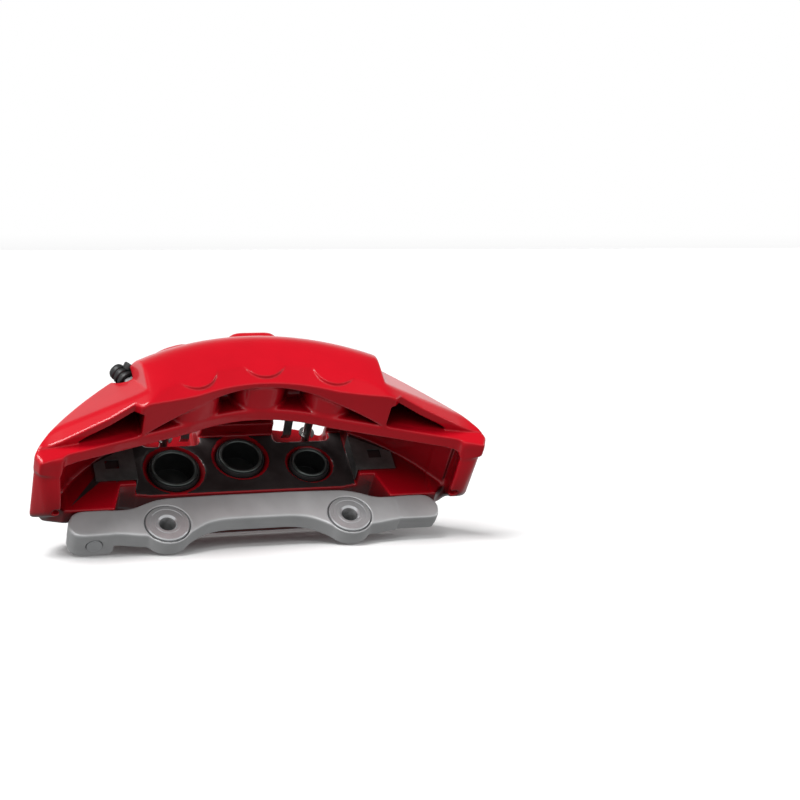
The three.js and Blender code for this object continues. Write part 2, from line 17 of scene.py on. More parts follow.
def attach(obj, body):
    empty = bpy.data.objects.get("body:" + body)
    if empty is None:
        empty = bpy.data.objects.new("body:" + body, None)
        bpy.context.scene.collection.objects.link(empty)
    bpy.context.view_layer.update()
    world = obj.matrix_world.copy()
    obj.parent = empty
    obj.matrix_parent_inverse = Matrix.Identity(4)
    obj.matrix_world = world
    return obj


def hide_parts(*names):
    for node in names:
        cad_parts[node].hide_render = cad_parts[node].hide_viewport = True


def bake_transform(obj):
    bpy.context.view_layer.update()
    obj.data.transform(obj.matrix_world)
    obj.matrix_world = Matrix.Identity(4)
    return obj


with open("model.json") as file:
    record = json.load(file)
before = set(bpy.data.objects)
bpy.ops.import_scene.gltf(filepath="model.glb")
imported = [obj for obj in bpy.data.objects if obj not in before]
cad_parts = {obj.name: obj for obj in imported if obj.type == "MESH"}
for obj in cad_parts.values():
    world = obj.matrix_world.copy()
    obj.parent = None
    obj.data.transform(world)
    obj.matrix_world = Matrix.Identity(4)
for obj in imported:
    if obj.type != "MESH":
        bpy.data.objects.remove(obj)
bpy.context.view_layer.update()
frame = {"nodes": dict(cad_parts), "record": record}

# ---------------------------------------------------------------- the caliper's axes in the row frame
# LEAN is how far the caliper tips forward as it lies on its bracket; KNUCKLE is the left mount.
LEAN = math.radians(48.7)
TURN = np.array([
    [1, 0, 0],
    [0, math.cos(LEAN), math.sin(LEAN)],
    [0, -math.sin(LEAN), math.cos(LEAN)],
])
KNUCKLE = np.array([-73.5, 37.0, 102.0])
mount = next(m for m in frame["record"]["mounts"] if m["name"] == "knuckle_left")
OFFSET = np.array(mount["pos_m"]) * 1000 - TURN @ KNUCKLE
TO_ROW = Matrix.Translation(Vector(OFFSET / 1000)) @ Matrix(TURN.tolist()).to_4x4() @ Matrix.Scale(0.001, 4)


def row_points(points):
    return (np.asarray(points, float) @ TURN.T + OFFSET) / 1000


def own_points(points):
    """Points of the row frame, in metres, back in the caliper's axes."""
    return (np.asarray(points) * 1000 - OFFSET) @ TURN


# ---------------------------------------------------------------- dimensions shared with the CAD part
GAP = 0.3
HALF_IN = 34
FRONT = 82
BACK = 88
END_X = 177
LIP_Y = 46
ROOF_R = 206
ROOF_IN_R = 195
OVER_R = 212
LOWER_R = 139
CREASE_R = 156.5
ARM_NORMAL = (0.413, -0.8, 0.436)
PISTONS = [("leading", -1, 19), ("middle", 0, 18), ("trailing", 1, 15)]
HALVES = [("outboard", -1), ("inboard", 1)]
SIDES = [("left", -1), ("right", 1)]
ABUT_X = 91
ABUT_Y = 21
PIN_X = 60
PIN_Z = 183
BUSH_X = 73.5
BUSH_Z = 86
BRACKET_Y0 = 21.4
BRACKET_Y1 = 37
LOBE_R = 19.4
BOLT_X = 130
BOLT_Y = 34
BOLT_R = 6.6
BLEED_ANGLE = math.radians(30.5)
BLEED_Y = {"outboard": -50, "inboard": 70}
BLEED_SEAT = 190
PORT_X = 106
PORT_Z = 152


BORE_RING_R = 162
BORE_SPREAD = math.radians(20.4)


def piston_centre(side):
    angle = side * BORE_SPREAD
    return BORE_RING_R * math.sin(angle), BORE_RING_R * math.cos(angle)


# ---------------------------------------------------------------- distance fields
def smax(a, b, k):
    """The larger of two fields, blended over a width k: their overlap, with a rounded edge."""
    h = np.maximum(k - np.abs(a - b), 0) / k
    return np.maximum(a, b) + h * h * (k / 4)


def smin(a, b, k):
    return -smax(-a, -b, k)


def meet(k, *fields):
    out = fields[0]
    for f in fields[1:]:
        out = smax(out, f, k)
    return out


def rounded(points, radius, steps=4):
    """Closed outline with each corner turned into a short curve."""
    pts = np.asarray(points, float)
    out = []
    for i, p in enumerate(pts):
        a, b = pts[i - 1], pts[(i + 1) % len(pts)]
        ra = min(radius, 0.45 * np.linalg.norm(a - p))
        rb = min(radius, 0.45 * np.linalg.norm(b - p))
        s = p + (a - p) / np.linalg.norm(a - p) * ra
        e = p + (b - p) / np.linalg.norm(b - p) * rb
        for t in np.linspace(0, 1, steps + 1):
            out.append((1 - t) ** 2 * s + 2 * t * (1 - t) * p + t * t * e)
    return out


def polygon(u, v, points):
    """Signed distance to a closed outline, over arrays u and v."""
    pts = np.asarray(points, np.float32)
    u, v = np.broadcast_arrays(np.float32(u), np.float32(v))
    best = np.full(u.shape, 1e9, np.float32)
    inside = np.zeros(u.shape, bool)
    for i in range(len(pts)):
        a, b = pts[i - 1], pts[i]
        e = b - a
        length = float(e @ e)
        if length < 1e-9:
            continue
        wu, wv = u - a[0], v - a[1]
        t = np.clip((wu * e[0] + wv * e[1]) / length, 0, 1)
        best = np.minimum(best, (wu - e[0] * t) ** 2 + (wv - e[1] * t) ** 2)
        if abs(e[1]) > 1e-9:
            crosses = ((a[1] > v) != (b[1] > v)) & (wu < e[0] * wv / e[1])
            inside ^= crosses
    d = np.sqrt(best)
    return np.where(inside, -d, d)


class Space:
    """A box of sample points, and the fields that can be drawn in it."""

    def __init__(self, lo, hi, step):
        self.lo, self.step = np.array(lo, float), step
        counts = [int(math.ceil((b - a) / step)) + 1 for a, b in zip(lo, hi)]
        axes = [np.float32(a + step * np.arange(n)) for a, n in zip(lo, counts)]
        self.x = axes[0][:, None, None]
        self.y = axes[1][None, :, None]
        self.z = axes[2][None, None, :]
        self.shape = tuple(counts)

    def slab(self, axis, lo, hi):
        c = getattr(self, axis)
        return np.maximum(lo - c, c - hi)

    def along_y(self, points, y0, y1, k=2.0):
        return smax(polygon(self.x, self.z, points), self.slab("y", y0, y1), k)

    def along_z(self, points, z0, z1, k=2.0):
        return smax(polygon(self.x, self.y, points), self.slab("z", z0, z1), k)

    def along_x(self, points, x0, x1, k=2.0):
        return smax(polygon(self.y, self.z, points), self.slab("x", x0, x1), k)

    def box(self, x0, x1, y0, y1, z0, z1, k=2.0):
        return meet(k, self.slab("x", x0, x1), self.slab("y", y0, y1), self.slab("z", z0, z1))

    def rod_y(self, cx, cz, radius, y0, y1, k=0.8):
        r = np.sqrt((self.x - cx) ** 2 + (self.z - cz) ** 2)
        return smax(r - radius, self.slab("y", y0, y1), k)

    def rod_z(self, cx, cy, radius, z0, z1, k=0.8):
        r = np.sqrt((self.x - cx) ** 2 + (self.y - cy) ** 2)
        return smax(r - radius, self.slab("z", z0, z1), k)

    def turned(self, profile, cx=0.0, cz=0.0):
        """Piece turned about a line along y; the profile is [radius, y]."""
        r = np.sqrt((self.x - cx) ** 2 + (self.z - cz) ** 2)[:, 0, :]
        spacing = 0.5
        rows = np.float32(np.arange(0, r.max() + 2 * spacing, spacing))
        table = polygon(rows[:, None], self.y[0, :, 0][None, :], profile)
        at = r / spacing
        i = np.int32(at)
        t = np.float32(at - i)[..., None]
        out = table[i] * (1 - t) + table[i + 1] * t
        return np.ascontiguousarray(out.transpose(0, 2, 1))

    def plane(self, normal, distance):
        n = np.array(normal, float)
        n /= np.linalg.norm(n)
        return np.float32(n[0]) * self.x + np.float32(n[1]) * self.y + np.float32(n[2]) * self.z - distance

    def rod_along(self, origin, axis, radius, near, far, k=0.8):
        n = np.array(axis, float)
        n /= np.linalg.norm(n)
        dx, dy, dz = self.x - origin[0], self.y - origin[1], self.z - origin[2]
        t = dx * n[0] + dy * n[1] + dz * n[2]
        r = np.sqrt(np.maximum(dx * dx + dy * dy + dz * dz - t * t, 0))
        return smax(r - radius, np.maximum(near - t, t - far), k)

    def ball(self, centre, radii):
        """Rough distance to an ellipsoid."""
        parts = zip((self.x, self.y, self.z), centre, radii)
        q = np.sqrt(sum(((axis - c) / r) ** 2 for axis, c, r in parts))
        return (q - 1) * min(radii)

    def mesh(self, field, name, target=None):
        """Closed mesh of the field's zero surface, with the field's own normals."""
        field = np.broadcast_to(field, self.shape).astype(np.float32)
        grid = openvdb.FloatGrid(3 * self.step)
        grid.copyFromArray(np.clip(field, -3 * self.step, 3 * self.step))
        points, quads = grid.convertToQuads()
        me = bpy.data.meshes.new(name)
        me.from_pydata((points * self.step + self.lo).tolist(), [], quads.tolist())
        o = bpy.data.objects.new(name, me)
        bpy.context.collection.objects.link(o)
        faces = 2 * len(quads)
        if target and faces > target:
            thin = o.modifiers.new("thin", "DECIMATE")
            thin.ratio = target / faces
            dg = bpy.context.evaluated_depsgraph_get()
            me = bpy.data.meshes.new_from_object(o.evaluated_get(dg))
            o.modifiers.clear()
            o.data = me
        co = np.zeros(len(me.vertices) * 3)
        me.vertices.foreach_get("co", co)
        co = co.reshape(-1, 3)
        me.vertices.foreach_set("co", row_points(co).ravel())
        me.polygons.foreach_set("use_smooth", np.ones(len(me.polygons), bool))
        normals = self.slopes(field, co)
        me.normals_split_custom_set_from_vertices((normals @ TURN.T).tolist())
        me.update()
        return o

    def slopes(self, field, points):
        """Unit gradient of the field at points."""
        at = (points - self.lo) / self.step

        def sample(p):
            i = np.clip(np.floor(p).astype(int), 0, np.array(self.shape) - 2)
            t = (p - i).astype(np.float32)
            out = 0
            for dx in (0, 1):
                for dy in (0, 1):
                    for dz in (0, 1):
                        w = (t[:, 0] if dx else 1 - t[:, 0]) * (t[:, 1] if dy else 1 - t[:, 1])
                        w = w * (t[:, 2] if dz else 1 - t[:, 2])
                        out = out + w * field[i[:, 0] + dx, i[:, 1] + dy, i[:, 2] + dz]
            return out

        g = np.stack([sample(at + e) - sample(at - e) for e in 0.75 * np.eye(3)], 1)
        return g / np.maximum(np.linalg.norm(g, axis=1, keepdims=True), 1e-9)


def mirror(points):
    return [(-x, z) for x, z in points][::-1]


def on_side(points, d):
    """An outline drawn for the right end, placed on side d."""
    return points if d > 0 else mirror(points)


def arc(radius, x0, x1, steps):
    return [(x, math.sqrt(radius * radius - x * x)) for x in np.linspace(x0, x1, steps + 1)]


def curve(points, steps=6):
    """Smooth open line through the points."""
    p = np.asarray(points, float)
    p = np.vstack([2 * p[0] - p[1], p, 2 * p[-1] - p[-2]])
    out = []
    for i in range(1, len(p) - 2):
        for t in np.arange(steps) / steps:
            a, b, c, d = p[i - 1], p[i], p[i + 1], p[i + 2]
            square, cube = 2 * a - 5 * b + 4 * c - d, 3 * b - a - 3 * c + d
            out.append(0.5 * (2 * b + (c - a) * t + square * t * t + cube * t ** 3))
    return [*map(tuple, out), tuple(p[-2])]


# ---------------------------------------------------------------- the casting
def lower_edge():
    right = [*arc(LOWER_R, 0, 44, 8), (56, 127.6), (164, 98), (END_X, 92)]
    return [*mirror(right)[:-1], *right]


def outboard_outline():
    return [*lower_edge(), *arc(OVER_R, END_X, -END_X, 40)]


def arm_plane(s, d, distance):
    """The slanting outer plane of the arm on side d."""
    nx, ny, nz = ARM_NORMAL
    return s.plane((d * nx, ny, nz), distance)


def casting(s):
    """The casting before anything is cut into it."""
    # outboard half
    face = s.along_y(outboard_outline(), -FRONT, -HALF_IN + 1, 1.8)
    side = [(91, -FRONT + 1), (100, -FRONT + 4), (168, -LIP_Y), (END_X - 3, -LIP_Y)]
    plan = [(-80, -FRONT - 1), (80, -FRONT - 1), *side, (END_X - 3, 0), (3 - END_X, 0), *mirror(side)]
    out = smax(face, s.along_z(rounded(plan, 6), 40, 250), 3.0)
    # inboard half
    low = 124.7
    floor = [(-150, 136), (-112, 131), (-78, low), (78, low), (112, 131), (150, 136)]
    block = s.along_y([*floor, *arc(OVER_R, 150, -150, 30)], HALF_IN, BACK, 4.0)
    back_plan = [(-150, 0), (-150, 60), (-118, BACK), (118, BACK), (150, 60), (150, 0)]
    inner = smax(block, s.along_z(rounded(back_plan, 8), 40, 250), 4.0)
    # roof, lugs, pad blocks, end walls
    roof_top = arc(OVER_R, 162, -162, 40)
    roof = s.along_y([*arc(ROOF_IN_R, -158, 158, 40), *roof_top], -HALF_IN, 60, 2.0)
    mass = smin(smin(out, inner, 4.0), roof, 4.0)
    n = END_X - 15
    lug = [(ABUT_X, 127), (104, 127), (112, 102.9), (151, 102.9), (164, 118), *arc(OVER_R, 164, ABUT_X, 10)]
    pad = [(ABUT_X, 140), (118, 140), (118, 166), (ABUT_X, 176)]
    wall = [(n - 8, 88), (END_X - 12, 88), (END_X, 101), (END_X, 106), (164, 124), (152, 139),
            (n - 14, 139), (n - 14, 132), (n, 120), (n, 106)]
    foot = [(-LIP_Y, 97), (-HALF_IN, 96), (0, 89), (8, 88), (15, 93), (50, 124), (50, 150), (-LIP_Y, 150)]
    foot_side = polygon(s.y, s.z, rounded(foot, 8))
    for _, d in SIDES:
        mass = smin(mass, s.along_y(on_side(lug, d), ABUT_Y, 50, 2.5), 3.0)
        mass = smin(mass, s.along_y(on_side(pad, d), -HALF_IN - 3, -ABUT_Y, 1.5), 2.0)
        end = smax(s.along_y(rounded(on_side(wall, d), 8), -LIP_Y, 50, 4.0), foot_side, 4.0)
        mass = smin(mass, end, 8.0)
    # rounded outer limit, turned about the axle
    shoulder = curve([(150, -FRONT), (166, -FRONT + 0.1), (175, -FRONT + 0.5), (184, -FRONT + 2.6),
                      (192, -FRONT + 7), (198.5, -FRONT + 13.5), (203, -FRONT + 21.5),
                      (205.4, -FRONT + 30), (ROOF_R, -FRONT + 38)])
    rear = curve([(ROOF_R, BACK - 34), (204.5, BACK - 22), (200, BACK - 11.5), (193, BACK - 4.5),
                  (184, BACK - 0.8), (172, BACK)])
    limit = s.turned([(0, -FRONT), *shoulder, *rear, (0, BACK)])
    mass = smax(mass, limit, 1.5)
    for _, d in SIDES:
        # the arms lie lower than the panel between them
        above = -arm_plane(s, d, 160)
        beside = s.plane((-d * 0.97, 0.24, 0), -93 * 0.97 - 82 * 0.24)
        mass = smax(mass, -smax(above, beside, 1.0), 1.8)
    # raised forms over the roof
    tower = s.along_y(rounded([(-32, 184), (34, 184), (25, 218.3), (-12, 218.3)], 9), -57, 52, 8.0)
    mass = smin(mass, tower, 8.0)
    mass = smin(mass, s.ball((6, -30, 212), (11, 18, 8)), 4.0)
    for _, d in SIDES:
        boss = rounded([(41, 184), (84, 176), (79, 190), (70, 198), (50, 204.5)], 8)
        for y0, y1 in ((-60, -42), (42, 62)):
            mass = smin(mass, s.along_y(on_side(boss, d), y0, y1, 6.0), 6.0)
        block = rounded([(74, 172), (100, 158), (96, 190), (80, 199)], 7)
        mass = smin(mass, s.along_y(on_side(block, d), -40, 52, 6.0), 6.0)
        mass = smin(mass, s.rod_y(d * PIN_X, PIN_Z, 9, 60, BACK - 0.2, 2.0), 3.0)
    return mass


def carved(s):
    """The casting with its slot, pocket, grooves, windows, bores and holes."""
    mass = casting(s)
    # disc slot and pad pocket
    slot = [*arc(ROOF_IN_R, -148, 148, 40), (148, 40), (-148, 40)]
    mass = smax(mass, -s.along_y(rounded(slot, 3), -HALF_IN, ABUT_Y, 2.0), 1.6)
    mass = smax(mass, -s.box(-ABUT_X, ABUT_X, ABUT_Y - 6, HALF_IN, 40, 186, 1.6), 1.6)
    # band under the panel's crease, which the piston bosses stand through
    band = s.turned([(CREASE_R, -FRONT - 6), (CREASE_R, -FRONT), (126, -FRONT + 10.5), (126, -FRONT - 6)])
    for _, side, _ in PISTONS:
        cx, cz = piston_centre(side)
        tilted = s.turned([(170, -FRONT - 2.1), (120, -FRONT + 6), (120, 0), (170, 0)])
        band = smax(band, -smax(s.rod_y(cx, cz, 18.6, -FRONT, 0, 0.8), tilted, 0.6), 0.9)
    mass = smax(mass, -band, 0.9)
    # groove between the flange and the lip, with the bore housings in it
    t = np.linspace(-1, 1, 33)
    plan = [(92 * u, -70 + 24 * u * u) for u in t]
    groove = s.along_z([(-92, -LIP_Y), *plan, (92, -LIP_Y)], 90, 156, 5.0)
    for _, side, radius in PISTONS:
        cx, cz = piston_centre(side)
        groove = smax(groove, -s.rod_y(cx, cz, max(21.5, radius + 5.4), -FRONT, -HALF_IN, 0.8), 3.0)
    mass = smax(mass, -groove, 3.0)
    for _, d in SIDES:
        # the arm is a slanting strut, with a hollow between it and the lip
        below = [(98, 40), (98, 115), (104, 121.2), (122, 115.6), (142, 112), (168, 107.6), (190, 104),
                 (190, 40)]
        behind = [(97, -LIP_Y), (97, -70), (104, -68), (140, -50.5), (146, -LIP_Y)]
        inside = arm_plane(s, d, 153)
        hollow = smax(s.along_z(rounded(on_side(behind, d), 3), 40, 220, 2.0), inside, 3.0)
        under = s.along_y(on_side(below, d), -FRONT - 6, -LIP_Y, 1.5)
        mass = smax(mass, -smin(hollow, under, 1.0), 1.6)
        relief = smax(s.along_x([(33, 100), (70, 60), (70, 139.6)], -200, 200), 142 - d * s.x, 2.0)
        mass = smax(mass, -relief, 2.0)
    # windows
    for _, d in SIDES:
        x0, x1 = sorted((d * 32, d * 78))
        mass = smax(mass, -s.box(x0, x1, -46, 46, 178, 260, 5.0), 2.5)
    # recessed fields in the inboard half's back
    outline = [(-104, 136), (-88, 130), (88, 130), (104, 136), (92, 160), (60, 181), (0, 190),
               (-60, 181), (-92, 160)]
    field = s.along_y(rounded(outline, 10), BACK - 5, BACK + 5, 2.0)
    for _, side, _ in PISTONS:
        cx, cz = piston_centre(side)
        field = smax(field, -s.rod_y(cx, cz, 23, 0, BACK + 9, 1.0), 3.0)
    field = smax(field, -s.rod_y(PORT_X, PORT_Z, 15, 0, BACK + 9, 1.0), 3.0)
    for _, d in SIDES:
        field = smax(field, -s.rod_y(d * PIN_X, PIN_Z, 9, 0, BACK + 9, 1.0), 3.0)
    mass = smax(mass, -field, 2.5)
    # dished rings, bores and seal grooves; the outboard ones keep a wall below them
    below_outline = polygon(s.x, s.z, outboard_outline()) + 2.2
    for _, dy in HALVES:
        for _, side, radius in PISTONS:
            cx, cz = piston_centre(side)
            r = radius + GAP
            rim = radius * 1.375 if dy > 0 else radius + 4.2
            near, far = 8, 8 + 4 + 2 * GAP
            profile = [(0, -3), (rim, -3), (rim, 0), (radius + 2.1, 3.2), (radius + 2.1, 5), (r, 5),
                       (r, near), (r + 3 + GAP, near), (r + 3 + GAP, far), (r, far), (r, 33), (0, 33)]
            bore = s.turned([(a, dy * (HALF_IN + b)) for a, b in profile], cx, cz)
            if dy < 0:
                bore = smax(bore, below_outline, 0.5)
            mass = smax(mass, -bore, 0.9)
    # holes
    for _, d in SIDES:
        mass = smax(mass, -s.rod_y(d * PIN_X, PIN_Z, 3.8, -60, BACK + 9), 0.8)
        mass = smax(mass, -s.rod_z(d * BOLT_X, BOLT_Y, BOLT_R, 80, 260), 0.8)
        mass = smax(mass, -s.rod_z(d * BOLT_X, BOLT_Y, 12.5, 148, 260), 1.2)
        mass = smax(mass, -s.rod_z(d * 159.5, 7, 3.4, 80, 99), 1.0)
    mass = smax(mass, -s.rod_y(PORT_X, PORT_Z, 5.3, BACK - 26, BACK + 9), 0.8)
    mass = smax(mass, -s.rod_y(PORT_X, PORT_Z, 10, BACK - 3, BACK + 9), 0.8)
    up = (-math.sin(BLEED_ANGLE), 0, math.cos(BLEED_ANGLE))
    for half, _ in HALVES:
        origin = (0, BLEED_Y[half], 0)
        mass = smax(mass, -s.rod_along(origin, up, 9, BLEED_SEAT, 240), 2.0)
        mass = smax(mass, -s.rod_along(origin, up, 4.3, BLEED_SEAT - 17, 240), 0.6)
    return mass


# ---------------------------------------------------------------- materials
# colours are linear, lengths in nodes are metres
def material(name, colour, roughness, metallic=0.0, coat=0.0, coat_roughness=0.03, specular=0.5):
    m = bpy.data.materials.new(name)
    m.use_nodes = True
    b = m.node_tree.nodes["Principled BSDF"]
    b.inputs["Base Color"].default_value = (*colour, 1)
    b.inputs["Roughness"].default_value = roughness
    b.inputs["Metallic"].default_value = metallic
    b.inputs["Coat Weight"].default_value = coat
    b.inputs["Coat Roughness"].default_value = coat_roughness
    b.inputs["Specular IOR Level"].default_value = specular
    return m


def grain(m, scale, strength, distance=0.0002, detail=4.0):
    """Fine bumps over a material's surface."""
    tree = m.node_tree
    at = tree.nodes.new("ShaderNodeTexCoord")
    noise = tree.nodes.new("ShaderNodeTexNoise")
    bump = tree.nodes.new("ShaderNodeBump")
    noise.inputs["Scale"].default_value = scale
    noise.inputs["Detail"].default_value = detail
    bump.inputs["Strength"].default_value = strength
    bump.inputs["Distance"].default_value = distance
    tree.links.new(at.outputs["Object"], noise.inputs["Vector"])
    tree.links.new(noise.outputs["Fac"], bump.inputs["Height"])
    tree.links.new(bump.outputs["Normal"], tree.nodes["Principled BSDF"].inputs["Normal"])
    return m


def mottled(m, colour_a, colour_b, scale, low=0.35, high=0.65):
    """Base colour that wanders between two close colours."""
    tree = m.node_tree
    at = tree.nodes.new("ShaderNodeTexCoord")
    noise = tree.nodes.new("ShaderNodeTexNoise")
    ramp = tree.nodes.new("ShaderNodeValToRGB")
    noise.inputs["Scale"].default_value = scale
    noise.inputs["Detail"].default_value = 5
    for stop, position, colour in zip(ramp.color_ramp.elements, (low, high), (colour_a, colour_b)):
        stop.position = position
        stop.color = (*colour, 1)
    tree.links.new(at.outputs["Object"], noise.inputs["Vector"])
    tree.links.new(noise.outputs["Fac"], ramp.inputs["Fac"])
    tree.links.new(ramp.outputs["Color"], tree.nodes["Principled BSDF"].inputs["Base Color"])
    return m


def shaded_recesses(m, darkest, reach=0.05):
    """Painted shade: base colour darkened where the surface sits in a hollow."""
    tree = m.node_tree
    near = tree.nodes.new("ShaderNodeAmbientOcclusion")
    near.samples = 8
    near.inputs["Distance"].default_value = reach
    ramp = tree.nodes.new("ShaderNodeValToRGB")
    for stop, position, level in zip(ramp.color_ramp.elements, (0.18, 0.78), (darkest, 1)):
        stop.position = position
        stop.color = (level, level, level, 1)
    mix = tree.nodes.new("ShaderNodeMixRGB")
    mix.blend_type = "MULTIPLY"
    mix.inputs["Fac"].default_value = 1
    base = tree.nodes["Principled BSDF"].inputs["Base Color"]
    tree.links.new(near.outputs["AO"], ramp.inputs["Fac"])
    tree.links.new(base.links[0].from_socket, mix.inputs["Color1"])
    tree.links.new(ramp.outputs["Color"], mix.inputs["Color2"])
    tree.links.new(mix.outputs["Color"], base)
    return m


red = material("red_lacquer", (0.53, 0.002, 0.011), 0.35, 0.0, 0.5, 0.04, 0.12)
grain(red, 260, 0.05, 0.00015, 2.0)
mottled(red, (0.51, 0.0018, 0.0105), (0.55, 0.0022, 0.0118), 30)
# painted shade: the red darkens in the casting's slot, pockets and other hollows
shaded_recesses(red, 0.1, 0.08)
# bare machined metal, its colour darkened to near black as painted shade of the slot and bores
machined_in_shade = material("machined_face_painted_shade", (0.035, 0.028, 0.028), 0.42, 0.55)
mottled(machined_in_shade, (0.03, 0.022, 0.022), (0.05, 0.04, 0.04), 60)
aluminium = grain(material("bracket_alloy", (0.48, 0.48, 0.49), 0.42, 0.4), 900, 0.12)
mottled(aluminium, (0.45, 0.455, 0.46), (0.52, 0.525, 0.53), 45)
zinc = grain(material("zinc_plate", (0.55, 0.56, 0.57), 0.3, 0.6), 1400, 0.06)
mottled(zinc, (0.52, 0.53, 0.54), (0.58, 0.59, 0.6), 120)
thread_dark = material("thread_shadow", (0.2, 0.2, 0.205), 0.4, 0.6)
mottled(thread_dark, (0.17, 0.17, 0.172), (0.24, 0.24, 0.245), 300)
steel = grain(material("stainless_steel", (0.45, 0.45, 0.44), 0.32, 0.95), 1200, 0.05)
mottled(steel, (0.42, 0.42, 0.41), (0.48, 0.48, 0.47), 150)
plate_metal = grain(material("abutment_steel", (0.12, 0.126, 0.124), 0.36, 0.6), 1200, 0.06)
mottled(plate_metal, (0.1, 0.106, 0.104), (0.145, 0.15, 0.148), 110)
piston_metal = grain(material("piston_metal", (0.1, 0.115, 0.11), 0.35, 0.75), 1200, 0.05)
mottled(piston_metal, (0.085, 0.1, 0.095), (0.115, 0.13, 0.125), 120)
# near black inside the piston cups: painted shade of the deep hollow, not a different metal
piston_inside_painted_shade = material("piston_inside_painted_shade", (0.012, 0.013, 0.013), 0.55, 0.3)
mottled(piston_inside_painted_shade, (0.009, 0.01, 0.01), (0.016, 0.017, 0.017), 140)
rubber = grain(material("rubber", (0.011, 0.011, 0.012), 0.48), 600, 0.08)
mottled(rubber, (0.009, 0.009, 0.0095), (0.014, 0.014, 0.015), 160)
plastic = grain(material("black_plastic", (0.014, 0.014, 0.015), 0.4), 2200, 0.12)
mottled(plastic, (0.012, 0.012, 0.0125), (0.017, 0.017, 0.018), 200)


def paint(o, *materials):
    o.data.materials.clear()
    for m in materials:
        o.data.materials.append(m)


# ---------------------------------------------------------------- pieces built here
def finish_piece(o, body, slot, *nodes):
    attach(o, body)
    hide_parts(*nodes)


def of_faces(o, what):
    """One vector for each face of a mesh: its center or its normal, in the row frame."""
    out = np.zeros(len(o.data.polygons) * 3)
    o.data.polygons.foreach_get(what, out)
    return out.reshape(-1, 3)


def mark_faces(o, chosen):
    """The chosen faces take the second material."""
    o.data.polygons.foreach_set("material_index", np.asarray(chosen, np.int32))


s = Space((-182, -87, 82), (182, 93, 219), 1.0)
body = s.mesh(carved(s), "casting", 270000)
paint(body, red, machined_in_shade)

# bare metal on the pads' faces, under the abutment plates and in the bores, coloured near black as painted
# shade
facing = of_faces(body, "normal") @ TURN
x, y, z = own_points(of_faces(body, "center")).T
toward_back = facing[:, 1]
flat = np.abs(toward_back) > 0.93
pocket_face = flat & (np.abs(np.abs(y) - HALF_IN) < 0.8) & (np.abs(x) < 150)
on_inboard = (toward_back < 0) & (np.abs(x) < ABUT_X)
on_outboard = (toward_back > 0) & (np.hypot(x, z) < ROOF_IN_R - 1)
pocket_face &= np.where(y > 0, on_inboard, on_outboard)
bores = np.zeros(len(x), bool)
for _, side, radius in PISTONS:
    cx, cz = piston_centre(side)
    r = np.hypot(x - cx, z - cz)
    inward = (facing[:, 0] * (x - cx) + facing[:, 2] * (z - cz) < 0) | flat
    bores |= (r < radius + 2.3) & (np.abs(y) > HALF_IN + 3.0) & (np.abs(y) < HALF_IN + 34) & inward
under_plate = (np.abs(np.abs(y) - ABUT_Y) < 0.8) & flat & (np.abs(x) < 117) & (z > 138) & (z < 170)
mark_faces(body, pocket_face | under_plate | bores)
finish_piece(body, "root", "red_paint", "caliper_body")


def turned_piece(name, profile, origin, axis, segments=72, sharp=32):
    """Closed piece turned about a line; the profile is [radius, distance along the axis]."""
    axis = Vector(axis).normalized()
    side = axis.orthogonal().normalized()
    other = axis.cross(side)
    bm = bmesh.new()
    rings = []
    for radius, along in profile:
        base = Vector(origin) + axis * along
        if radius == 0:
            rings.append([bm.verts.new(base)])
            continue
        turns = [2 * math.pi * i / segments for i in range(segments)]
        spokes = [side * math.cos(a) + other * math.sin(a) for a in turns]
        rings.append([bm.verts.new(base + spoke * radius) for spoke in spokes])
    count = len(rings)
    for i in range(count):
        a, b = rings[i], rings[(i + 1) % count]
        for j in range(segments):
            k = (j + 1) % segments
            if len(a) > 1 and len(b) > 1:
                bm.faces.new((a[j], a[k], b[k], b[j]))
            elif len(a) > 1:
                bm.faces.new((a[j], a[k], b[0]))
            elif len(b) > 1:
                bm.faces.new((a[0], b[k], b[j]))
    bmesh.ops.recalc_face_normals(bm, faces=bm.faces)
    bm.transform(TO_ROW)
    me = bpy.data.meshes.new(name)
    bm.to_mesh(me)
    bm.free()
    me.polygons.foreach_set("use_smooth", np.ones(len(me.polygons), bool))
    me.set_sharp_from_angle(angle=math.radians(sharp))
    o = bpy.data.objects.new(name, me)
    bpy.context.collection.objects.link(o)
    return o


def eased(profile, radius, steps=3):
    """The profile with its corners rounded, apart from those on the axis."""
    curved = rounded(profile, radius, steps)
    out = []
    for i, point in enumerate(profile):
        corner = curved[i * (steps + 1):(i + 1) * (steps + 1)]
        out.extend([tuple(point)] if point[0] == 0 else [tuple(c) for c in corner])
    return out


